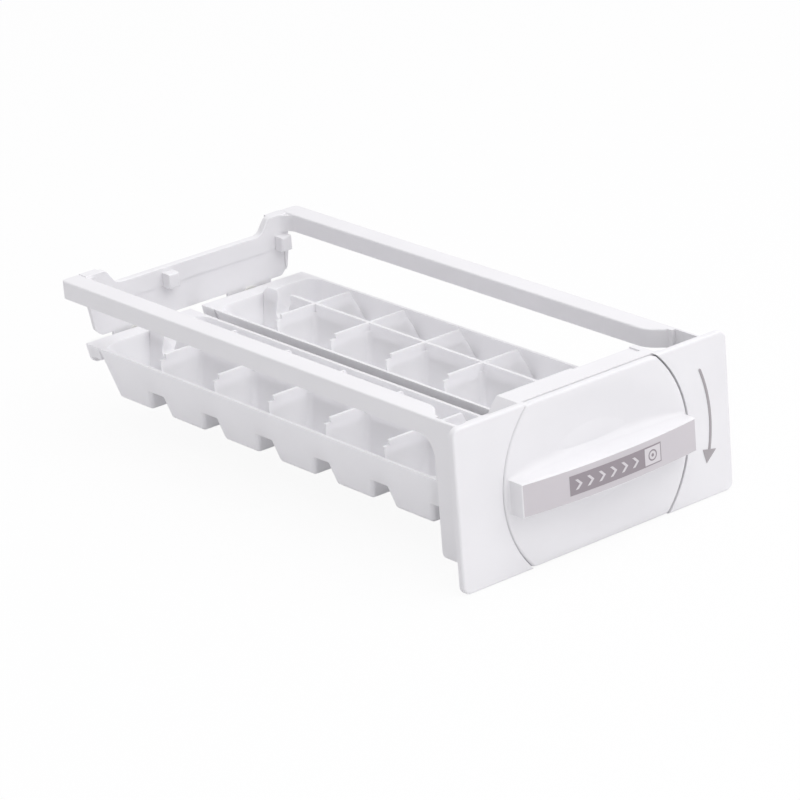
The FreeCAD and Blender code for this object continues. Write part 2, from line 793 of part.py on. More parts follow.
def wall_plate(y0, y1, drop=0.0):
    right = wall_half_outline()
    radii = [0, 5.0, 3.0, 0, 0, 0, 3.0, 3.0, 0]
    if drop:
        right = [(x, z - drop) for x, z in right]
    left = [(-x, z) for x, z in reversed(right)]
    points = right[1:-1] + left[1:-1]
    rounds = radii[1:-1] + list(reversed(radii))[1:-1]
    return plate_y(points, y0, y1, rounds)


def rear_cross_wall():
    plate = wall_plate(wall_y, wall_y + wall_t)
    edge = edges_where(plate, lambda e, b: abs(b.YMax - wall_y) < 1e-3 and b.ZMin > wall_top - 0.01)
    plate = plate.makeFillet(0.5, edge)
    lip = wall_plate(wall_y + wall_t, wall_y + lip_depth).cut(
        wall_plate(wall_y, wall_y + lip_depth, lip_t))
    lip = lip.common(box(-rail_inner_x + 2, rail_inner_x - 2, wall_y, wall_y + lip_depth,
                         wall_bottom + 10, rail_height))
    step = box(-rail_inner_x + 3, rail_inner_x - 3, wall_y, wall_y + 0.5, wall_bottom, -7.65)
    pieces = [plate.cut(step), lip]
    ear_y = rail_end_y - 3.6
    for side in (-1, 1):
        corner = [(side * rail_inner_x, wall_y - 6.0), (side * rail_inner_x, wall_y + 1.0),
                  (side * (rail_inner_x - 6.0), wall_y + 1.0), (side * (rail_inner_x - 6.0), wall_y)]
        filler = plate_z(corner, 0, rail_height - rail_edge)
        hollow = Part.makeCylinder(6.0, rail_height, V(side * (rail_inner_x - 6.0), wall_y - 6.0, 0))
        pieces.append(filler.cut(hollow))
        x0, x1 = sorted((side * 50.0, side * rail_inner_x))
        pieces.append(box(x0, x1, wall_y + wall_t, rail_end_y, rail_height - lip_t, rail_height))
        x0, x1 = sorted((side * 50.0, side * (rail_outer_x - rail_wall)))
        pieces.append(box(x0, x1, ear_y, ear_y + 2.4, 0.2, rail_height - rail_wall))
        pieces.append(box(*sorted((side * 50.0, side * 51.8)), wall_y + wall_t, ear_y + 2.4,
                          0.2, rail_height - 0.5))
        x = side * tray_x
        lug = [(x - lug_width / 2, wall_bottom + 4), (x - lug_width / 2, axis_z - lug_bottom),
               (x + lug_width / 2, axis_z - lug_bottom), (x + lug_width / 2, wall_bottom + 4)]
        pieces.append(plate_y(lug, wall_y + 0.5, wall_y + wall_t, [0, 5.0, 5.0, 0]))
        pieces.append(rod(x, axis_z, shaft_bush_r + 2.0, wall_y + 0.5, wall_y + 4.0))
    body = join(pieces)
    for side in (-1, 1):
        x, z = rear_screw_place()
        body = body.cut(rod(side * x, z, screw_r + screw_gap, ear_y, ear_y + 2.4))
        body = body.cut(rod(side * tray_x, axis_z, shaft_bush_r - 1.0, wall_y, wall_y + 5))
    body = join([body] + [tray_stop(side * tray_x) for side in (-1, 1)])
    return single(body)


def tray_stop(x):
    """Block that the tray's end plate meets when it has turned over."""
    x0 = x + stop_from_axis
    block = box(x0, x0 + stop_width, wall_y - stop_reach, wall_y + 0.6,
                axis_z + stop_low, axis_z + stop_high)
    front = edges_where(block, lambda e, b: b.YMax < wall_y - stop_reach + 1e-3)
    block = block.makeFillet(1.2, front)
    pocket = box(x0 + 1.3, x0 + stop_width - 1.3, wall_y - stop_reach + 1.3, wall_y + 0.6,
                 axis_z + stop_low, axis_z + stop_high - 1.4)
    return block.cut(pocket)


def rear_wall_screws():
    x, z = rear_screw_place()
    seat = rail_end_y - 3.6 + 2.4
    return Part.makeCompound([screw(side * x, seat, z, 2.4 + 4.6, head_r=2.7, head_t=1.2)
                              for side in (-1, 1)])


# Tray drive and pivots

shaft_r = 4.0
spigot_r = 3.0
shaft_bush_r = 6.0
shaft_bush_flange = 1.2
flange_half = 14.0
flange_t = 2.5
flange_screw_x = 10.0


def d_bar(r, y0, y1):
    """Round bar on the Y axis with a flat, so that it drives what it fits."""
    return rod(0, 0, r, y0, y1).cut(box(-r, r, y0, y1, 0.7 * r, r))


def drive_gear():
    tip_r = gear_module * (pinion_teeth / 2 + 0.8)
    root_r = gear_module * (pinion_teeth / 2 - 1.02)
    gear = toothed_disc(pinion_teeth, root_r, tip_r, -tooth_thinning, pinion_front, pinion_back)
    web = tube(0, 0, root_r - 2.0, spigot_r + 2.5, pinion_back - 2.0, pinion_back)
    return single(gear.cut(web).cut(d_bar(spigot_r + running_gap, pinion_front, pinion_back)))


def drive_shaft():
    """Stepped shaft: spigot for the gear, journal in the bush, flange on the tray."""
    flange_back = tray_front_y
    flange_front = flange_back - flange_t
    shaft = join([d_bar(spigot_r, pinion_front, pinion_back),
                  rod(0, 0, shaft_r, pinion_back, flange_front),
                  plate_y([(-flange_half, -9.5), (flange_half, -9.5), (flange_half, tray_rim - 0.8),
                           (-flange_half, tray_rim - 0.8)], flange_front, flange_back, [2.0] * 4)])
    y0 = bulkhead_back + shaft_bush_flange + 0.2
    shaft = shaft.cut(tube(0, 0, shaft_r, shaft_r - 0.8, y0, y0 + 0.9))
    for x in (-flange_screw_x, flange_screw_x):
        shaft = shaft.cut(rod(x, -3.0, screw_r + screw_gap, flange_front, flange_back))
    return single(shaft)


def shaft_clip():
    """Snap ring in the shaft's groove, behind the bush."""
    y0 = bulkhead_back + shaft_bush_flange + 0.25
    ring = tube(0, 0, shaft_r + 2.2, shaft_r - 0.8 + 0.02, y0, y0 + 0.8)
    opening = box(-1.8, 1.8, y0, y0 + 0.8, -shaft_r - 3, 0)
    return single(ring.cut(opening))


def front_bush():
    hole = shaft_r + running_gap
    sleeve = tube(0, 0, shaft_bush_r, hole, housing_floor_y + 0.6, bulkhead_back)
    flange = tube(0, 0, shaft_bush_r + 2.5, hole, bulkhead_back, bulkhead_back + shaft_bush_flange)
    return single(join([sleeve, flange]))


def rear_bush():
    hole = pivot_r + running_gap
    sleeve = tube(0, 0, shaft_bush_r - 1.0, hole, wall_y - 0.3, wall_y + 4.0)
    flange = tube(0, 0, shaft_bush_r + 1.5, hole, wall_y + 4.0, wall_y + 5.0)
    return single(join([sleeve, flange]))


def rear_pivot_pin():
    """Pin pressed into the tray's end, with its head behind the rear bush."""
    head_y = wall_y + 5.0 + running_gap
    shank = rod(0, 0, pivot_r, tray_end_y - 5.5, head_y)
    head = rod(0, 0, pivot_r + 1.9, head_y, head_y + 1.8)
    rim = edges_where(head, lambda e, b: b.YMin > head_y + 1.8 - 1e-6 and b.YLength < 1e-6)
    return single(join([shank, head.makeFillet(0.6, rim[:1])]))


def tray_screws():
    seat = tray_front_y - flange_t
    return Part.makeCompound([screw(x, seat, -3.0, flange_t + 2.6, towards=1, head_r=2.6)
                              for x in (-flange_screw_x, flange_screw_x)])


# Ice tray

def side_x(z):
    """Outer face of the tray's long side at height z, which leans in towards the bottom."""
    return tray_half_width - side_draft * (tray_rim - z)


def frustum(x0, x1, half_y, z_high, bx0, bx1, bhalf_y, z_low):
    """Tapered block from a rectangle at z_high to a smaller one at z_low, centred on y = 0."""
    def rectangle(a, b, half, z):
        points = [V(a, -half, z), V(b, -half, z), V(b, half, z), V(a, half, z)]
        return Part.makePolygon(points + points[:1])
    wires = [rectangle(x0, x1, half_y, z_high), rectangle(bx0, bx1, bhalf_y, z_low)]
    return Part.makeLoft(wires, True, True)


def softened(block, r, z_high, rear_r=None):
    """Tapered block with its upright and bottom edges rounded, and a larger round at its rear."""
    def upright(e, b):
        return b.ZLength > 5
    if rear_r:
        rear = edges_where(block, lambda e, b: upright(e, b) and b.YMin > 0)
        block = block.makeFillet(rear_r, rear)
        others = edges_where(block, lambda e, b: upright(e, b) and b.YMax < 0 and b.ZLength > 5)
        block = block.makeFillet(r, others)
        return block
    chosen = edges_where(block, lambda e, b: b.ZMin < z_high - 1e-3)
    return block.makeFillet(r, chosen)


def cup_outside():
    """One cup of the right column, seen from outside."""
    block = frustum(0, tray_half_width, cup_pitch / 2, tray_rim,
                    cup_mid_gap, side_x(tray_bottom), cup_bottom_half, tray_bottom)
    return softened(block, cup_corner, tray_rim)


def cell_inside(rear_r=None):
    """Hollow of one cup of the right column."""
    floor_z = tray_bottom + cup_floor
    share = cup_floor / (tray_rim - tray_bottom)
    low_half = cup_bottom_half + (cup_pitch / 2 - cup_bottom_half) * share - cup_wall
    low_mid = cup_mid_gap * (1 - share) + cup_wall
    block = frustum(divider_t / 2, tray_half_width - cup_wall, (cup_pitch - divider_t) / 2, tray_rim,
                    low_mid, side_x(floor_z) - cup_wall, low_half, floor_z)
    if rear_r:
        rear = edges_where(block, lambda e, b: b.ZLength > 5 and b.YMin > 0 and b.XMin > low_mid + 5)
        block = block.makeFillet(rear_r, rear)
        front = edges_where(block, lambda e, b: b.ZLength > 5 and b.YLength > 1 and b.YMax < 0)
        return block.makeFillet(cell_corner, front)
    return softened(block, cell_corner, tray_rim)


def side_skins():
    """Thin long walls that close the wedges between the cups, with the wedges' rounded tops."""
    skins = []
    reach = tray_end_y - tray_front_y
    for side in (-1, 1):
        outer = [(side * side_x(tray_rim), tray_rim), (side * side_x(strip_bottom), strip_bottom),
                 (side * (side_x(strip_bottom) - cup_wall), strip_bottom),
                 (side * (side_x(tray_rim) - cup_wall), tray_rim)]
        skins.append(plate_y(outer, tray_front_y, row_centres[-1]))
        rear = [(side * side_x(tray_rim), tray_rim), (side * side_x(-2.0), -2.0),
                (side * (side_x(-2.0) - cup_wall), -2.0), (side * (side_x(tray_rim) - cup_wall), tray_rim)]
        skins.append(plate_y(rear, rows_end_y - 1.0, tray_front_y + reach))
    return skins


def end_plates():
    """Front plate for the drive, and the ledge, plate and boss at the rear pivot."""
    top = side_x(tray_rim)
    low = side_x(-12.0)
    front = plate_y([(-top, tray_rim), (-low, -12.0), (low, -12.0), (top, tray_rim)],
                    tray_front_y, rows_y, [0, 4.0, 4.0, 0])
    low = side_x(-5.0)
    rear = plate_y([(-top, tray_rim), (-low, -5.0), (low, -5.0), (top, tray_rim)],
                   tray_end_y - tray_end_t, tray_end_y, [0, 3.0, 3.0, 0])
    ledge = box(-top + 0.5, top - 0.5, rows_end_y - 1.0, tray_end_y, tray_rim - cup_wall, tray_rim)
    boss = rod(0, 0, pivot_r + 4.0, tray_end_y - 7.0, tray_end_y)
    return [front, rear, ledge, boss.common(box(-20, 20, 0, 400, -20, tray_rim))]


def mid_wall():
    """Wall between the two columns, with its top lifted above the rims."""
    points = [(rows_y - 0.5, tray_rim), (rows_y - 0.5, strip_bottom + 3),
              (rows_end_y, strip_bottom + 3), (rows_end_y, tray_rim),
              (rows_end_y - 4.5, divider_top), (rows_y + 4.0, divider_top)]
    return plate_x(points, -divider_t / 2, divider_t / 2)


def notch_block(grow, top, half_x):
    """The pouring notch through the middle wall of the last row, grown by some wall."""
    y0 = rows_end_y - notch_from_end - notch_half
    y1 = rows_end_y - notch_from_end + notch_half
    lean = 1.5
    outline = [(y0 - lean - grow, top), (y0 - grow, notch_bottom - grow),
               (y1 + grow, notch_bottom - grow), (y1 + lean + grow, top)]
    return plate_x(outline, -half_x, half_x, [0, notch_half - 0.6, notch_half - 0.6, 0])


def divider(y):
    """Wall between two rows. Its ends stop short of the sides, so that water can level out."""
    points = [(-20.5, divider_top), (-20.5, 6.0), (-23.3, 5.8), (-24.1, 2.6), (-25.6, -5.0),
              (-side_x(-8.5) + 0.8, -6.5), (-side_x(-9.3) + 0.8, strip_bottom),
              (side_x(-9.3) - 0.8, strip_bottom), (side_x(-8.5) - 0.8, -7.5), (25.6, -7.0),
              (23.9, -0.3), (21.0, 7.0), (20.5, divider_top)]
    return plate_y(points, y - divider_t / 2, y + divider_t / 2)


def levelling_channels():
    """Room beside the dividers' ends, along both long walls, where water levels out."""
    y0 = rows_y + cup_pitch - 5.0
    y1 = rows_end_y - cup_pitch + 5.0
    left = [(-23.3, 6.0), (-24.1, 2.6), (-25.6, -5.0), (-side_x(-6.5) + cup_wall, -6.5),
            (-side_x(tray_rim) + cup_wall, tray_rim), (-side_x(tray_rim) + cup_wall, 6.0)]
    right = [(21.4, 6.0), (23.9, -0.3), (25.6, -7.0), (side_x(-7.5) - cup_wall, -7.5),
             (side_x(tray_rim) - cup_wall, tray_rim), (side_x(tray_rim) - cup_wall, 6.0)]
    return [plate_y(left, y0, y1), plate_y(right, y0, y1)]


def saddles(y):
    """Caps under the levelling channels, which close the wedge between two cups from above."""
    half = 6.0
    left = [(-21.6, tray_rim), (-22.4, 1.8), (-24.0, -8.6), (-side_x(-9.0) + 0.8, -9.0),
            (-side_x(tray_rim) + 0.8, tray_rim)]
    right = [(20.2, tray_rim), (22.2, -1.0), (24.0, -9.0), (side_x(-9.2) - 0.8, -9.2),
             (side_x(tray_rim) - 0.8, tray_rim)]
    return [plate_y(outline, y - half, y + half) for outline in (left, right)]


def ice_tray():
    """One tray about its own axis: twelve cups in two columns."""
    cup = cup_outside()
    cell = cell_inside()
    last_cell = cell_inside(rear_cell_corner)
    cups = []
    cells = []
    for row, y in enumerate(row_centres):
        hollow = last_cell if row == cup_rows - 1 else cell
        cups += [moved(cup, y=y), moved(mirrored(cup), y=y)]
        cells += [moved(hollow, y=y), moved(mirrored(hollow), y=y)]
    caps = [cap for y in divider_places for cap in saddles(y)]
    caps.append(notch_block(cup_wall, tray_rim, 5.0))
    body = cups[0].multiFuse(cups[1:] + side_skins() + end_plates() + caps)
    body = body.cut(Part.makeCompound(cells))
    body = body.multiFuse([mid_wall()] + [divider(y) for y in divider_places])
    for room in levelling_channels() + [notch_block(0, divider_top + 1, 7.0)]:
        body = body.cut(room)
    body = body.cut(rod(0, 0, pivot_r, tray_end_y - 5.5, tray_end_y))
    for x in (-flange_screw_x, flange_screw_x):
        body = body.cut(rod(x, -3.0, screw_r + screw_gap, tray_front_y, rows_y))
    return in_blocks(single(body.removeSplitter()))


def in_blocks(body):
    """The tray in blocks of one row that meet face to face, so that simulation keeps its cups open."""
    edges = [tray_front_y - 1.0] + divider_places + [tray_end_y + 1.0]
    reach = tray_half_width + 5.0
    blocks = [single(body.common(box(-reach, reach, near, far, -reach, reach)))
              for near, far in zip(edges, edges[1:])]
    return Part.makeCompound(blocks)


def tray_pieces():
    """Pieces that turn with a tray, about the tray's own axis."""
    return {"ice_tray": ice_tray(), "drive_gear": drive_gear(), "drive_shaft": drive_shaft(),
            "shaft_clip": shaft_clip(), "rear_pivot_pin": rear_pivot_pin(),
            "tray_screws": tray_screws()}


def main():
    right_rail = right_side_rail()
    nodes = {
        "front_panel": front_panel(),
        "direction_arrow": direction_arrow(),
        "gear_case": gear_case(),
        "right_side_rail": right_rail,
        "left_side_rail": mirrored(right_rail),
        "rear_cross_wall": rear_cross_wall(),
        "knob_bush": knob_bush(),
        "return_spring": return_spring(),
        "panel_screws": panel_screws(),
        "case_screws": case_screws(),
        "rear_wall_screws": rear_wall_screws(),
        "knob_disc": knob_disc(),
        "gear_segments": gear_segments(),
        "gear_segment_screws": gear_segment_screws(),
        "handle_bar": handle_bar(),
        "handle_front_strip": handle_strip(),
        "label_plate": label_plate(),
        "label_marks": label_marks(),
        "handle_screws": handle_screws(),
        "knob_washer": knob_washer(),
        "knob_screw": knob_screw(),
    }
    bushes = {"front_bush": front_bush(), "rear_bush": rear_bush()}
    pieces = tray_pieces()
    for side, x in (("left", -tray_x), ("right", tray_x)):
        for name, shape in {**bushes, **pieces}.items():
            nodes[f"{side}_{name}"] = moved(shape, x=x, z=axis_z)
    os.makedirs("parts", exist_ok=True)
    for name, shape in nodes.items():
        box_size = shape.BoundBox
        print(f"{name}: {len(shape.Solids)} solids, valid {shape.isValid()}, {shape.Volume:.0f} mm3, "
              f"X {box_size.XMin:.1f}..{box_size.XMax:.1f} Y {box_size.YMin:.1f}..{box_size.YMax:.1f} "
              f"Z {box_size.ZMin:.1f}..{box_size.ZMax:.1f}")
        shape.exportStep(f"parts/{name}.step")


main()
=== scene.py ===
# %% [markdown]
# A twist-release ice tray unit from a refrigerator: a white frame on two rails, a round
# knob in the front panel and two trays that the knob turns over. The measured model is
# loaded first and is never moved. Everything below dresses it: finishes, softened edges,
# printed marks, a camera and light. All lengths are in metres, so one millimetre is MM.

# %% Load the measured model
import bpy
import json
import math
from mathutils import Matrix, Vector


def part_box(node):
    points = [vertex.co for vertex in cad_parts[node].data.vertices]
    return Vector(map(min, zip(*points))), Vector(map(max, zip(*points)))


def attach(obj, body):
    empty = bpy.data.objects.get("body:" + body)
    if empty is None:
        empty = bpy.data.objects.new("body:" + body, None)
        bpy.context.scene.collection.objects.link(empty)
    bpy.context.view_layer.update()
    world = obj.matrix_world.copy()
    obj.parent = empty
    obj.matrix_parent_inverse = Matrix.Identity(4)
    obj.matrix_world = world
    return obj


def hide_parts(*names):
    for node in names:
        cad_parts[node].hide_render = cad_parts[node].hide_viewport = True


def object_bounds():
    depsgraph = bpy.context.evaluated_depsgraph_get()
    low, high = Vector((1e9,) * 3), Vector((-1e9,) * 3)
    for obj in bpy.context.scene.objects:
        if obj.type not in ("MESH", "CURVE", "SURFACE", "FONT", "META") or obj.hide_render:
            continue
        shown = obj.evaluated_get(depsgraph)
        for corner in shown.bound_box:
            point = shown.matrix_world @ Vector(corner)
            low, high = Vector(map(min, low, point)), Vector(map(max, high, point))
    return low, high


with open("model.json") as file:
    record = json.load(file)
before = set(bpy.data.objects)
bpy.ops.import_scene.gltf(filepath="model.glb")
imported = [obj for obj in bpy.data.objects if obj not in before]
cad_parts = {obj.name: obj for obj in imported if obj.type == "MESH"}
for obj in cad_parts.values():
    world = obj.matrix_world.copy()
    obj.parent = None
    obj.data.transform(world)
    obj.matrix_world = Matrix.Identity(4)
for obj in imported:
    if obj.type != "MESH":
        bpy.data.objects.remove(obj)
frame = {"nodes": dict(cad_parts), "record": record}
cad_low, cad_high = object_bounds()
MM = 0.001
NODES = frame["nodes"]
print("model box in mm", [round(v / MM, 1) for v in (*cad_low, *cad_high)])

# %% [markdown]
# The scene is set up before anything is shaped. View transform Standard shows a colour as it
# is written, which suits a white object on white, where a film-like curve would grey it.

# %% Scene settings
scene = bpy.context.scene
scene.view_settings.view_transform = "Standard"
print("view transform", scene.view_settings.view_transform)


# %% [markdown]
# Two effects are wanted on more than one plastic, so they are in one shader node group.
# Moulded plastic is never quite even: its gloss drifts in wide patches where the mould was
# polished by hand, and its skin has a fine grain. Real plastic shows this as a soft, slightly
# uneven highlight. A noise drives each one, and the group hands out a colour, a roughness and
# a height, while each material keeps its own shader.

# %% Moulded plastic group
def new_socket(group, name, kind, way, value=None):
    """Give a node group a named input or output, with its value to begin with."""
    socket = group.interface.new_socket(name=name, in_out=way, socket_type=kind)
    if value is not None:
        socket.default_value = value


def moulded_group():
    """The patches and the grain of a moulded skin."""
    group = bpy.data.node_groups.new("Moulded plastic", "ShaderNodeTree")
    new_socket(group, "Color", "NodeSocketColor", "INPUT", (0.8, 0.8, 0.8, 1))
    new_socket(group, "Shade", "NodeSocketColor", "INPUT", (0.75, 0.75, 0.76, 1))
    new_socket(group, "Gloss low", "NodeSocketFloat", "INPUT", 0.3)
    new_socket(group, "Gloss high", "NodeSocketFloat", "INPUT", 0.45)
    new_socket(group, "Grain scale", "NodeSocketFloat", "INPUT", 1500.0)
    new_socket(group, "Color", "NodeSocketColor", "OUTPUT")
    new_socket(group, "Roughness", "NodeSocketFloat", "OUTPUT")
    new_socket(group, "Height", "NodeSocketFloat", "OUTPUT")
    nodes, links = group.nodes, group.links
    ins = nodes.new("NodeGroupInput")
    outs = nodes.new("NodeGroupOutput")
    coords = nodes.new("ShaderNodeTexCoord")
    patches = nodes.new("ShaderNodeTexNoise")
    patches.inputs["Scale"].default_value = 28.0
    patches.inputs["Detail"].default_value = 3.0
    grain = nodes.new("ShaderNodeTexNoise")
    grain.inputs["Detail"].default_value = 2.0
    links.new(coords.outputs["Object"], patches.inputs["Vector"])
    links.new(coords.outputs["Object"], grain.inputs["Vector"])
    links.new(ins.outputs["Grain scale"], grain.inputs["Scale"])
    drift = nodes.new("ShaderNodeMapRange")
    drift.inputs["From Min"].default_value = 0.35
    drift.inputs["From Max"].default_value = 0.65
    links.new(patches.outputs["Fac"], drift.inputs["Value"])
    tint = nodes.new("ShaderNodeMix")
    tint.data_type = "RGBA"
    links.new(drift.outputs["Result"], tint.inputs["Factor"])
    links.new(ins.outputs["Shade"], tint.inputs["A"])
    links.new(ins.outputs["Color"], tint.inputs["B"])
    gloss = nodes.new("ShaderNodeMapRange")
    links.new(patches.outputs["Fac"], gloss.inputs["Value"])
    gloss.inputs["From Min"].default_value = 0.3
    gloss.inputs["From Max"].default_value = 0.7
    links.new(ins.outputs["Gloss low"], gloss.inputs["To Min"])
    links.new(ins.outputs["Gloss high"], gloss.inputs["To Max"])
    links.new(tint.outputs["Result"], outs.inputs["Color"])
    links.new(gloss.outputs["Result"], outs.inputs["Roughness"])
    links.new(grain.outputs["Fac"], outs.inputs["Height"])
    return group


MOULDED = moulded_group()
print(MOULDED.name, "group with", len(MOULDED.nodes), "nodes")

# %% [markdown]
# Each plastic of the object is one material made from that group: its own colour, the shade
# of its patches, its gloss and its grain. The trays are moulded from a softer, slightly milky
# plastic, so some light goes a few millimetres into them, which a subsurface weight gives.
# Printing ink lies on the plastic as a thin coat that is duller and finer than the skin.

# %% Plastics and prints
PLASTIC_IOR = 1.49
GRAIN_RELIEF = 0.2 * MM
MILKY_DEPTH = 4 * MM
INK_GLOSS = (0.5, 0.58)
INK_GRAIN = 3000.0


def plastic(name, color, shade, gloss, grain_scale=1500.0, grain_depth=0.02, milky=0.0):
    """A moulded plastic: colour and shade of its patches, lowest and highest roughness."""
    material = bpy.data.materials.new(name)
    material.use_nodes = True
    nodes, links = material.node_tree.nodes, material.node_tree.links
    shader = nodes["Principled BSDF"]
    group = nodes.new("ShaderNodeGroup")
    group.node_tree = MOULDED
    group.inputs["Color"].default_value = (*color, 1)
    group.inputs["Shade"].default_value = (*shade, 1)
    group.inputs["Gloss low"].default_value, group.inputs["Gloss high"].default_value = gloss
    group.inputs["Grain scale"].default_value = grain_scale
    bump = nodes.new("ShaderNodeBump")
    bump.inputs["Strength"].default_value = grain_depth
    bump.inputs["Distance"].default_value = GRAIN_RELIEF
    links.new(group.outputs["Color"], shader.inputs["Base Color"])
    links.new(group.outputs["Roughness"], shader.inputs["Roughness"])
    links.new(group.outputs["Height"], bump.inputs["Height"])
    links.new(bump.outputs["Normal"], shader.inputs["Normal"])
    shader.inputs["IOR"].default_value = PLASTIC_IOR
    if milky:
        shader.inputs["Subsurface Weight"].default_value = milky
        shader.inputs["Subsurface Radius"].default_value = (1.0, 1.0, 1.0)
        shader.inputs["Subsurface Scale"].default_value = MILKY_DEPTH
    return material


WHITE = plastic("white frame plastic", color=(0.855, 0.85, 0.865), shade=(0.835, 0.83, 0.845),
                gloss=(0.34, 0.46))
TRAY = plastic("milky tray plastic", color=(0.89, 0.885, 0.905), shade=(0.87, 0.865, 0.885),
               gloss=(0.38, 0.5), milky=0.5)
ACETAL = plastic("natural acetal", color=(0.80, 0.80, 0.77), shade=(0.76, 0.76, 0.73),
                 gloss=(0.3, 0.4))
STRIP = plastic("grey front strip", color=(0.625, 0.595, 0.62), shade=(0.60, 0.57, 0.595),
                gloss=(0.42, 0.5), grain_scale=2600.0, grain_depth=0.03)
DARK = plastic("dark label print", color=(0.33, 0.295, 0.32), shade=(0.315, 0.28, 0.305),
               gloss=INK_GLOSS, grain_scale=INK_GRAIN)
MARKS = plastic("light label print", color=(0.70, 0.67, 0.695), shade=(0.68, 0.65, 0.675),
                gloss=INK_GLOSS, grain_scale=INK_GRAIN)
ARROW = plastic("grey arrow print", color=(0.40, 0.375, 0.39), shade=(0.385, 0.36, 0.375),
                gloss=INK_GLOSS, grain_scale=INK_GRAIN)
print("plastics:", ", ".join(m.name for m in (WHITE, TRAY, ACETAL, STRIP, DARK, MARKS, ARROW)))

# %% [markdown]
# The screws, clips, pins and the spring are zinc-plated steel. Zinc is a grey metal whose fine
# crystals scatter the light unevenly, so a small noise drives its roughness.

# %% Zinc-plated steel
def zinc_steel():
    material = bpy.data.materials.new("zinc-plated steel")
    material.use_nodes = True
    nodes, links = material.node_tree.nodes, material.node_tree.links
    shader = nodes["Principled BSDF"]
    coords = nodes.new("ShaderNodeTexCoord")
    noise = nodes.new("ShaderNodeTexNoise")
    noise.inputs["Scale"].default_value = 900.0
    noise.inputs["Detail"].default_value = 4.0
    links.new(coords.outputs["Object"], noise.inputs["Vector"])
    gloss = nodes.new("ShaderNodeMapRange")
    gloss.inputs["To Min"].default_value = 0.22
    gloss.inputs["To Max"].default_value = 0.42
    links.new(noise.outputs["Fac"], gloss.inputs["Value"])
    links.new(gloss.outputs["Result"], shader.inputs["Roughness"])
    shader.inputs["Base Color"].default_value = (0.66, 0.67, 0.68, 1)
    shader.inputs["Metallic"].default_value = 1.0
    return material


STEEL = zinc_steel()
print("metal:", STEEL.name)

# %% [markdown]
# Every measured node names the finish of its surface in the record that comes with the model.
# One table turns those names into the materials above, so that no node is left plain grey.

# %% Finishes of the measured nodes
FINISHES = {"white_plastic": WHITE, "tray_plastic": TRAY, "acetal": ACETAL, "grey_strip": STRIP,
            "dark_label": DARK, "light_marks": MARKS, "grey_print": ARROW, "steel": STEEL}
SLOT_OF = {row["node"]: row["material_slot"] for row in frame["record"]["subparts"]}


def finish_with(obj, material):
    """Give an object one material."""
    obj.data.materials.clear()
    obj.data.materials.append(material)


for name, node in NODES.items():
    finish_with(node, FINISHES[SLOT_OF[name]])
    node.select_set(False)
print(len(NODES), "measured nodes have their finish")


# %% [markdown]
# An operator acts on all that is selected, so each step below first says what it works on: one
# object, or the faces, edges or points of it that lie in a certain place. A finished piece is
# settled. Its place goes into its mesh, because a pattern on Object coordinates would slide
# otherwise, its gentle bends are shaded smoothly, and it is told which body it turns with.

# %% Selecting, joining and settling
def deselect_all():
    bpy.ops.object.select_all(action="DESELECT")


def only(obj):
    """Make obj the one selected and active object."""
    deselect_all()
    obj.select_set(True)
    bpy.context.view_layer.objects.active = obj


def select_where(obj, kind, wanted):
    """Select the faces, edges or points of obj for which wanted(item) is true, and count them."""
    bpy.ops.object.mode_set(mode="EDIT")
    bpy.ops.mesh.select_mode(type=kind)
    bpy.ops.mesh.select_all(action="DESELECT")
    bpy.ops.object.mode_set(mode="OBJECT")
    items = {"FACE": obj.data.polygons, "EDGE": obj.data.edges, "VERT": obj.data.vertices}[kind]
    found = 0
    for item in items:
        item.select = bool(wanted(item))
        found += item.select
    bpy.ops.object.mode_set(mode="EDIT")
    return found


def join_into(main, others):
    """Join other objects into the main one."""
    deselect_all()
    for other in others:
        other.select_set(True)
    main.select_set(True)
    bpy.context.view_layer.objects.active = main
    bpy.ops.object.join()


def settle(obj, name, material, body, smooth_below=30.0):
    """Put a finished piece at the origin with its finish, and let it ride on its body."""
    obj.name = name
    only(obj)
    bpy.ops.object.transform_apply(location=True, rotation=True, scale=True)
    finish_with(obj, material)
    bpy.ops.object.shade_smooth_by_angle(angle=math.radians(smooth_below))
    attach(obj, body)
    print(name, len(obj.data.polygons), "faces")


# %% [markdown]
# The frame's large pieces and the trays come from the measured model, but its faces are loose
# triangles, so light breaks at every seam. A copy whose doubled corners are merged can be
# shaded smoothly over gentle bends while its sharp edges stay sharp.

# %% Merging and softening
BODIES = frame["record"]["behaviour"]["bodies"]
BODY_OF = {node: body for body, nodes in BODIES.items() for node in nodes}
SAME_POINT = 0.002 * MM


def merged_copy(node):
    """A copy of a measured node with a mesh of its own, its doubled corners merged."""
    copy = NODES[node].copy()
    copy.data = NODES[node].data.copy()
    copy.parent = None
    for key in [k for k in copy.keys() if k.startswith("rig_")]:
        del copy[key]
    scene.collection.objects.link(copy)
    only(copy)
    bpy.ops.mesh.customdata_custom_splitnormals_clear()
    bpy.ops.object.mode_set(mode="EDIT")
    bpy.ops.mesh.select_all(action="SELECT")
    bpy.ops.mesh.remove_doubles(threshold=SAME_POINT)
    bpy.ops.object.mode_set(mode="OBJECT")
    return copy


def soften(copy, node, name):
    """Finish a merged copy and let it stand for its measured node."""
    settle(copy, name, FINISHES[SLOT_OF[node]], BODY_OF[node])
    weigh = copy.modifiers.new("even flats", "WEIGHTED_NORMAL")
    weigh.keep_sharp = True
    bpy.ops.object.modifier_apply(modifier=weigh.name)
    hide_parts(node)


# %% [markdown]
# Each real tray is one moulding with twelve cups in two columns. Its measured solid is cut
# into blocks of one row that meet inside the dividers between the rows. The merged copy
# loses the faces that are hidden there, and the seams that are left close when the points
# beside them are merged.

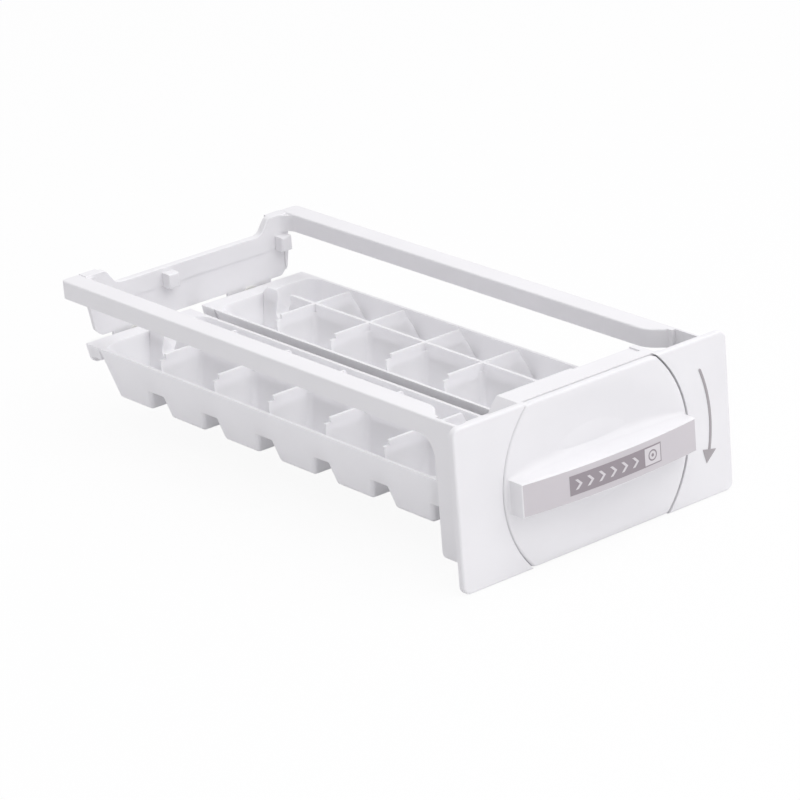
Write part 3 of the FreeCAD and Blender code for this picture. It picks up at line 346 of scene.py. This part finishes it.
# %% Trays
CUP_PITCH = 41.1 * MM
ROWS_START = 30.0 * MM
ROW_COUNT = 6
DIVIDERS = [ROWS_START + CUP_PITCH * (row + 1) for row in range(ROW_COUNT - 1)]
SAME_PLANE = 0.003 * MM
SEAM_GAP = 0.004 * MM


def delete_faces_at_y(obj, places):
    """Delete the faces that lie flat in planes across the Y axis, and count them."""
    def hidden(face):
        ys = [obj.data.vertices[v].co.y for v in face.vertices]
        return any(max(abs(y - place) for y in ys) < SAME_PLANE for place in places)
    found = select_where(obj, "FACE", hidden)
    bpy.ops.mesh.delete(type="FACE")
    bpy.ops.mesh.select_all(action="SELECT")
    bpy.ops.mesh.remove_doubles(threshold=SEAM_GAP)
    bpy.ops.object.mode_set(mode="OBJECT")
    return found


for side in ("left", "right"):
    tray_node = f"{side}_ice_tray"
    tray = merged_copy(tray_node)
    hidden_faces = delete_faces_at_y(tray, DIVIDERS)
    print(tray_node, "loses", hidden_faces, "hidden faces")
    soften(tray, tray_node, f"{side}_milky_tray")

# %% [markdown]
# The frame's five large mouldings and the knob's handle bar already have their final form in
# the measured model. Merging and softening is all that they need.

# %% Frame and handle bar
for node in ("front_panel", "right_side_rail", "left_side_rail", "rear_cross_wall", "handle_bar",
             "gear_case"):
    soften(merged_copy(node), node, f"smooth_{node}")

# %% [markdown]
# The knob's face is the first thing that is seen. The real one is a thin moulding, softly
# dished all over, with a round outline cut off flat above and below. It is shaped as by hand
# in three steps, and the first gives the flat plate: a disc is trimmed by two bisecting cuts,
# its four corners are bevelled round, and it is extruded to its thickness. The two flats are
# divided finely, because the rings of the next step take their points from this outline.

# %% Flat plate of the knob
AXIS_Z = -27.15 * MM
DISC_R = 52.6 * MM
DISC_FRONT = -3.0 * MM
DISC_THICKNESS = 3.2 * MM
DISC_TOP = 10.65 * MM
DISC_BOTTOM = -62.95 * MM
DISC_CORNER = 4.0 * MM
DISC_SIDES = 256
CORNER_STEPS = 8
FLAT_CUTS = 47


def on_flat(vertex):
    """Whether a point of the disc's outline lies on one of its two flats."""
    return min(abs(vertex.co.z - DISC_TOP), abs(vertex.co.z - DISC_BOTTOM)) < 0.001 * MM


def knob_plate():
    """The flat plate: a disc trimmed above and below, its corners rounded, made thick."""
    deselect_all()
    bpy.ops.mesh.primitive_circle_add(vertices=DISC_SIDES, radius=DISC_R, fill_type="NGON",
                                      location=(0, DISC_FRONT, AXIS_Z),
                                      rotation=(math.radians(90), 0, 0))
    disc = bpy.context.object
    bpy.ops.object.transform_apply(location=True, rotation=True, scale=True)
    bpy.ops.object.mode_set(mode="EDIT")
    for height, above in ((DISC_TOP, True), (DISC_BOTTOM, False)):
        bpy.ops.mesh.select_all(action="SELECT")
        bpy.ops.mesh.bisect(plane_co=(0, 0, height), plane_no=(0, 0, 1), clear_outer=above,
                            clear_inner=not above)
    bpy.ops.object.mode_set(mode="OBJECT")
    select_where(disc, "VERT", on_flat)
    bpy.ops.mesh.bevel(offset=DISC_CORNER, segments=CORNER_STEPS, affect="VERTICES")
    bpy.ops.object.mode_set(mode="OBJECT")
    select_where(disc, "EDGE", lambda edge: all(on_flat(disc.data.vertices[v]) for v in edge.vertices))
    bpy.ops.mesh.subdivide(number_cuts=FLAT_CUTS)
    bpy.ops.mesh.select_all(action="SELECT")
    bpy.ops.mesh.extrude_region_move(TRANSFORM_OT_translate={"value": (0, DISC_THICKNESS, 0)})
    bpy.ops.mesh.select_all(action="SELECT")
    bpy.ops.mesh.normals_make_consistent(inside=False)
    bpy.ops.object.mode_set(mode="OBJECT")
    return disc


knob_face = knob_plate()
print("knob plate has", len(knob_face.data.vertices), "points")

# %% [markdown]
# The front edge rolls over along a quarter circle, in five small steps of extruding the face in
# place, drawing it in and moving it forward. Rings of ever smaller outlines then give the face
# the points that a dish needs. The dish itself is one smooth formula, because a curve that
# fades into the rim can't be had from single moves: it is deepest in the middle, a scoop that
# is wider than it is high, and it fades out over a narrow band before the rim.

# %% Rolled rim and dish
RIM_ROLL = 1.3 * MM
RIM_STEPS = 5
FACE_RINGS = 26
MIDDLE_STEPS = 1.5
DISH_DEPTH = 4.5 * MM
DISH_HALF_WIDTH = 48.0 * MM
DISH_HALF_HEIGHT = 34.0 * MM
FADE_FROM = 0.97
FADE_OVER = 0.14
SCOOP_BLEND = 0.03


def dish_depth(x, z):
    """How far the knob's face lies behind its rim at a place on it."""
    height = z - AXIS_Z
    edge = DISC_TOP - AXIS_Z if height > 0 else AXIS_Z - DISC_BOTTOM
    outline = max(math.hypot(x, height) / DISC_R, abs(height) / edge)
    fade = min(max((FADE_FROM - outline) / FADE_OVER, 0.0), 1.0)
    fade = fade * fade * (3 - 2 * fade)
    scoop = 1 - (x / DISH_HALF_WIDTH) ** 2 - (height / DISH_HALF_HEIGHT) ** 2
    return DISH_DEPTH * fade * (math.sqrt(scoop * scoop + SCOOP_BLEND) + scoop) / 2


def ring_inside(shrink):
    """Extrude the selected face in place and draw it in towards the knob's axis."""
    bpy.ops.mesh.extrude_region_move(TRANSFORM_OT_translate={"value": (0, 0, 0)})
    bpy.ops.transform.resize(value=(shrink, 1, shrink), center_override=(0, DISC_FRONT, AXIS_Z))


def roll_and_dish(disc):
    """Round the front edge, cut the face into evenly spaced rings and sink them to the dish."""
    select_where(disc, "FACE", lambda face: face.normal.y < -0.9)
    bpy.ops.transform.translate(value=(0, RIM_ROLL, 0))
    for step in range(RIM_STEPS):
        last, turn = (math.radians(90 * n / RIM_STEPS) for n in (step, step + 1))
        ring_inside(1 - RIM_ROLL * (math.cos(last) - math.cos(turn)) / DISC_R)
        bpy.ops.transform.translate(value=(0, -RIM_ROLL * (math.sin(turn) - math.sin(last)), 0))
    for ring in range(FACE_RINGS):
        ring_inside(1 - 1 / (FACE_RINGS + MIDDLE_STEPS - ring))
    bpy.ops.object.mode_set(mode="OBJECT")
    for vertex in disc.data.vertices:
        if vertex.co.y < DISC_FRONT + 0.01 * MM:
            vertex.co.y += dish_depth(vertex.co.x, vertex.co.z)


roll_and_dish(knob_face)
print("knob face has", len(knob_face.data.vertices), "points")

# %% [markdown]
# Behind its face the knob has a round boss, and a post that turns in a bush of the frame. Both
# are cylinders whose end edges are bevelled. The front of the boss is drawn back in the middle
# to a shallow cone, so that it stays behind the dish. Joined to the plate they are one piece,
# as in the moulding, and it stands for the measured disc.

# %% Boss and post behind the face
BOSS_R = 33.0 * MM
BOSS_FRONT = 0.1 * MM
BOSS_BACK = 3.5 * MM
BOSS_HOLLOW = 2.4 * MM
POST_R = 8.0 * MM
POST_FRONT = 2.0 * MM
POST_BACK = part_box("knob_disc")[1][1]
ROUND_SIDES = 96
ROUND_BEVEL = 0.4 * MM


def cylinder_along_y(radius, y0, y1):
    """A cylinder on the knob's axis from y0 to y1 with small bevels at its ends."""
    deselect_all()
    bpy.ops.mesh.primitive_cylinder_add(vertices=ROUND_SIDES, radius=radius, depth=y1 - y0,
                                        location=(0, (y0 + y1) / 2, AXIS_Z),
                                        rotation=(math.radians(90), 0, 0))
    cylinder = bpy.context.object
    bpy.ops.object.transform_apply(location=True, rotation=True, scale=True)

    def around_an_end(edge):
        first, second = (cylinder.data.vertices[v].co.y for v in edge.vertices)
        return abs(first - second) < 1e-7
    select_where(cylinder, "EDGE", around_an_end)
    bpy.ops.mesh.bevel(offset=ROUND_BEVEL, segments=3, affect="EDGES")
    bpy.ops.object.mode_set(mode="OBJECT")
    return cylinder


def hollow_front(cylinder, depth):
    """Draw the middle of a cylinder's front back to a shallow cone."""
    select_where(cylinder, "FACE", lambda face: face.normal.y < -0.9)
    bpy.ops.mesh.poke()
    bpy.ops.object.mode_set(mode="OBJECT")
    for vertex in cylinder.data.vertices:
        if math.hypot(vertex.co.x, vertex.co.z - AXIS_Z) < 0.01 * MM and vertex.co.y < BOSS_BACK / 2:
            vertex.co.y += depth


boss = cylinder_along_y(BOSS_R, BOSS_FRONT, BOSS_BACK)
hollow_front(boss, BOSS_HOLLOW)
post = cylinder_along_y(POST_R, POST_FRONT, POST_BACK)
join_into(knob_face, [boss, post])
settle(knob_face, "dished_knob_face", WHITE, "knob")
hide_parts("knob_disc")

# %% [markdown]
# On the real knob the bar and the disc are blended by a hollow fillet, wide in the middle of
# the bar and tight at its ends, where the disc's rim is near. It is a ring with a section of
# its own, so it starts as a torus whose points are then placed: one step of the ring for each
# place along the bar's foot, and one point of the section for each step of the hollow arc.
# The section's other points lie inside the disc and the bar, where nothing shows them.

# %% Fillet at the foot of the handle bar
BAR_HALF_LENGTH = 49.5 * MM
BAR_HALF_HEIGHT = 7.7 * MM
LONG_STEPS = 80
SHORT_STEPS = 12
FAN_STEPS = 6
FILLET_AT_MIDDLE = 4.5 * MM
FILLET_AT_END = 1.0 * MM
FILLET_ARC_STEPS = 9
FILLET_ROOT = 0.4 * MM
FILLET_LIFT = 0.03 * MM


def bar_foot():
    """Places round the bar's foot, each with its outward direction, as (x, z, nx, nz)."""
    length, height = BAR_HALF_LENGTH, BAR_HALF_HEIGHT
    long_side = [length * (2 * n / LONG_STEPS - 1) for n in range(LONG_STEPS + 1)]
    short_side = [height * (2 * n / SHORT_STEPS - 1) for n in range(1, SHORT_STEPS)]
    fan = [math.radians(90 * n / FAN_STEPS) for n in range(1, FAN_STEPS)]
    places = []
    for turn in (1, -1):
        places += [(turn * x, turn * height, 0, turn) for x in long_side]
        places += [(turn * length, turn * height, turn * math.sin(a), turn * math.cos(a)) for a in fan]
        places += [(turn * length, -turn * z, turn, 0) for z in short_side]
        places += [(turn * length, -turn * height, turn * math.cos(a), -turn * math.sin(a)) for a in fan]
    return places


def fillet_section(radius):
    """The section's points as (distance from the bar's wall, height above the face)."""
    turns = [math.radians(90 * n / FILLET_ARC_STEPS) for n in range(FILLET_ARC_STEPS + 1)]
    arc = [(radius * (1 - math.cos(a)), radius * (1 - math.sin(a)) + FILLET_LIFT) for a in turns]
    return arc + [(radius, -FILLET_ROOT), (-FILLET_ROOT, -FILLET_ROOT), (-FILLET_ROOT, radius)]


def foot_fillet():
    """The fillet as a torus whose points are placed round the bar's foot."""
    places = bar_foot()
    points = FILLET_ARC_STEPS + 4
    deselect_all()
    bpy.ops.mesh.primitive_torus_add(major_segments=len(places), minor_segments=points)
    fillet = bpy.context.object
    for index, vertex in enumerate(fillet.data.vertices):
        x, z, nx, nz = places[index // points]
        middle = 1 - (abs(x) / BAR_HALF_LENGTH) ** 4
        radius = FILLET_AT_END + (FILLET_AT_MIDDLE - FILLET_AT_END) * middle
        away, height = fillet_section(radius)[index % points]
        px, pz = x + nx * away, z + nz * away
        vertex.co = (px, DISC_FRONT + dish_depth(px, pz + AXIS_Z) - height, pz + AXIS_Z)
    bpy.ops.object.mode_set(mode="EDIT")
    bpy.ops.mesh.select_all(action="SELECT")
    bpy.ops.mesh.normals_make_consistent(inside=False)
    bpy.ops.object.mode_set(mode="OBJECT")
    settle(fillet, "bar_foot_fillet", WHITE, "knob", smooth_below=40.0)


foot_fillet()

# %% [markdown]
# The printed arrow beside the knob is finer in the photograph than the thin plate measured
# for it. A merged copy is drawn in towards the middle of its arc, its head less than its line.

# %% Direction arrow
ARROW_R = 65.5 * MM
ARROW_HALF_LINE = 1.0 * MM
LINE_SHARE = 0.62
HEAD_SHARE = 0.86

arrow = merged_copy("direction_arrow")
for vertex in arrow.data.vertices:
    radius = math.hypot(vertex.co.x, vertex.co.z - AXIS_Z)
    share = LINE_SHARE if abs(radius - ARROW_R) < 1.1 * ARROW_HALF_LINE else HEAD_SHARE
    draw_in = (ARROW_R + (radius - ARROW_R) * share) / radius
    vertex.co.x *= draw_in
    vertex.co.z = AXIS_Z + (vertex.co.z - AXIS_Z) * draw_in
soften(arrow, "direction_arrow", "fine_direction_arrow")

# %% [markdown]
# Turned over, the trays show the undersides of their cups. Each cup of such a moulding has a
# small round pad where the plastic came in, with the cut-off stub of the sprue in the middle.
# One pad is made, and every other one is a copy with a mesh of its own.

# %% Gate mark under a cup
PAD_R = 1.9 * MM
PAD_HEIGHT = 0.22 * MM
PAD_ROOT = 0.3 * MM
PAD_BEVEL = 0.1 * MM
PAD_SIDES = 40
STUB_R = 0.6 * MM
STUB_HEIGHT = 0.35 * MM
STUB_TAPER = 0.75


def gate_mark():
    """One pad whose root is in the cup's floor at the origin, with its stub pointing down."""
    deselect_all()
    bpy.ops.mesh.primitive_cylinder_add(vertices=PAD_SIDES, radius=PAD_R,
                                        depth=PAD_HEIGHT + PAD_ROOT,
                                        location=(0, 0, (PAD_ROOT - PAD_HEIGHT) / 2))
    pad = bpy.context.object
    bpy.ops.object.transform_apply(location=True, rotation=True, scale=True)
    select_where(pad, "FACE", lambda face: face.normal.z < -0.9)
    bpy.ops.mesh.bevel(offset=PAD_BEVEL, segments=2, affect="EDGES")
    bpy.ops.object.mode_set(mode="OBJECT")
    select_where(pad, "FACE", lambda face: face.normal.z < -0.999)
    bpy.ops.mesh.inset(thickness=PAD_R - PAD_BEVEL - STUB_R, depth=0)
    bpy.ops.mesh.extrude_region_move(TRANSFORM_OT_translate={"value": (0, 0, -STUB_HEIGHT)})
    bpy.ops.transform.resize(value=(STUB_TAPER, STUB_TAPER, 1), center_override=(0, 0, 0))
    bpy.ops.object.mode_set(mode="OBJECT")
    return pad


first_mark = gate_mark()
print("one gate mark has", len(first_mark.data.polygons), "faces")

# %% [markdown]
# A tray's twelve marks lie in the middle of its cups' floors. They are joined into one piece
# that turns with the tray, and the first mark is removed when both trays have theirs.

# %% Gate marks of both trays
TRAY_X = 33.8 * MM
CUP_FLOOR_X = 16.56 * MM
CUP_FLOOR_Z = AXIS_Z - 20.0 * MM


def gate_marks(side, sign, first):
    """Twelve copies of the first mark under one tray, joined into a piece that turns with it."""
    marks = []
    for row in range(ROW_COUNT):
        for column in (-1, 1):
            mark = first.copy()
            mark.data = first.data.copy()
            scene.collection.objects.link(mark)
            mark.location = (sign * TRAY_X + column * CUP_FLOOR_X, ROWS_START + CUP_PITCH * (row + 0.5),
                             CUP_FLOOR_Z)
            marks.append(mark)
    join_into(marks[0], marks[1:])
    settle(marks[0], f"{side}_tray_gate_marks", TRAY, f"{side}_tray")


gate_marks("left", -1, first_mark)
gate_marks("right", 1, first_mark)
bpy.data.objects.remove(first_mark)

# %% [markdown]
# The camera stands where the photograph was taken from: a long lens, a little over a metre
# and a half away, looking down at 21 degrees from the front left, and rolled by 4 degrees.

# %% Camera
CAMERA_PLACE = Vector((-1015.6, -1195.2, 607.05)) * MM
CAMERA_TURN = 38.166
CAMERA_DOWN = 21.070
CAMERA_ROLL = 4.421
LENS = 178.51
SHIFT = (-0.0599, 0.0071)


def add_camera():
    """Turn the camera by three angles, from its own right, up and looking directions."""
    turn, down, roll = (math.radians(v) for v in (CAMERA_TURN, CAMERA_DOWN, CAMERA_ROLL))
    look = Vector((math.sin(turn) * math.cos(down), math.cos(turn) * math.cos(down), -math.sin(down)))
    level = Vector((math.cos(turn), -math.sin(turn), 0))
    below = look.cross(level)
    right = level * math.cos(roll) + below * math.sin(roll)
    up = -(below * math.cos(roll) - level * math.sin(roll))
    data = bpy.data.cameras.new("camera")
    data.lens = LENS
    data.sensor_width = 36.0
    data.shift_x, data.shift_y = SHIFT
    data.clip_end = 20.0
    camera = bpy.data.objects.new("camera", data)
    scene.collection.objects.link(camera)
    columns = Matrix((right, up, -look)).transposed().to_4x4()
    camera.matrix_world = Matrix.Translation(CAMERA_PLACE) @ columns
    scene.camera = camera


add_camera()
print("camera at", [round(v, 3) for v in scene.camera.location])

# %% [markdown]
# The floor is a pale plane under the panel's lower edge. Seen straight by the camera it is
# mostly its own white, mixed with a little of the lit surface, which is where the object's
# soft shadow shows. All other rays meet the plain pale surface, so that the white gives the
# object no light.

# %% Floor
FLOOR_Z = cad_low.z - 0.3 * MM
FLOOR_SIZE = 12.0
FLOOR_GLOW = 0.93


def add_floor():
    """A pale plane that the camera sees as nearly white."""
    bpy.ops.mesh.primitive_plane_add(size=FLOOR_SIZE, location=(0, 0, FLOOR_Z))
    floor = bpy.context.object
    floor.name = "floor"
    material = bpy.data.materials.new("floor")
    material.use_nodes = True
    nodes, links = material.node_tree.nodes, material.node_tree.links
    shader = nodes["Principled BSDF"]
    shader.inputs["Base Color"].default_value = (0.86, 0.86, 0.865, 1)
    shader.inputs["Roughness"].default_value = 0.9
    glow = nodes.new("ShaderNodeEmission")
    path = nodes.new("ShaderNodeLightPath")
    share = nodes.new("ShaderNodeMath")
    share.operation = "MULTIPLY"
    share.inputs[1].default_value = FLOOR_GLOW
    mix = nodes.new("ShaderNodeMixShader")
    links.new(path.outputs["Is Camera Ray"], share.inputs[0])
    links.new(share.outputs["Value"], mix.inputs["Fac"])
    links.new(shader.outputs["BSDF"], mix.inputs[1])
    links.new(glow.outputs["Emission"], mix.inputs[2])
    links.new(mix.outputs["Shader"], nodes["Material Output"].inputs["Surface"])
    finish_with(floor, material)


add_floor()
print("floor at", round(FLOOR_Z / MM, 1), "mm")

# %% [markdown]
# Light is soft and plain: a wide panel overhead, a weaker one at the front right, and a sky
# that is a little stronger on the right, so that the sides turned to the left fall into a
# pale shade. Only the camera's own rays see the sky as plain white.

# %% Lamps and sky
def add_panel_light(name, place, aim, size, power):
    """A rectangular white lamp that points from its place to its aim."""
    data = bpy.data.lights.new(name, "AREA")
    data.shape = "RECTANGLE"
    data.size, data.size_y = size
    data.energy = power
    lamp = bpy.data.objects.new(name, data)
    scene.collection.objects.link(lamp)
    lamp.location = place
    lamp.rotation_euler = (Vector(aim) - Vector(place)).to_track_quat("-Z", "Y").to_euler()


def add_sky(left, right, color):
    """An even sky whose strength grows from the left side of the picture to the right."""
    world = bpy.data.worlds.new("studio")
    scene.world = world
    world.use_nodes = True
    nodes, links = world.node_tree.nodes, world.node_tree.links
    sky = nodes["Background"]
    sky.inputs["Color"].default_value = (*color, 1)
    coords = nodes.new("ShaderNodeTexCoord")
    parts = nodes.new("ShaderNodeSeparateXYZ")
    links.new(coords.outputs["Generated"], parts.inputs["Vector"])
    grow = nodes.new("ShaderNodeMapRange")
    links.new(parts.outputs["X"], grow.inputs["Value"])
    grow.inputs["From Min"].default_value = -1.0
    grow.inputs["To Min"].default_value = left
    grow.inputs["To Max"].default_value = right
    links.new(grow.outputs["Result"], sky.inputs["Strength"])
    seen = nodes.new("ShaderNodeBackground")
    seen.inputs["Color"].default_value = (1, 1, 1, 1)
    seen.inputs["Strength"].default_value = 1.0
    path = nodes.new("ShaderNodeLightPath")
    mix = nodes.new("ShaderNodeMixShader")
    links.new(path.outputs["Is Camera Ray"], mix.inputs["Fac"])
    links.new(sky.outputs["Background"], mix.inputs[1])
    links.new(seen.outputs["Background"], mix.inputs[2])
    links.new(mix.outputs["Shader"], nodes["World Output"].inputs["Surface"])


add_panel_light("overhead", place=(0.2, -0.4, 1.6), aim=(0, 0.1, 0), size=(2.0, 2.0), power=15.5)
add_panel_light("front", place=(0.5, -1.5, 1.1), aim=(0, 0, 0), size=(1.0, 0.8), power=3.6)
add_sky(left=0.53, right=0.90, color=(0.985, 0.975, 1.0))
print("lamps:", ", ".join(lamp.name for lamp in bpy.data.lights))
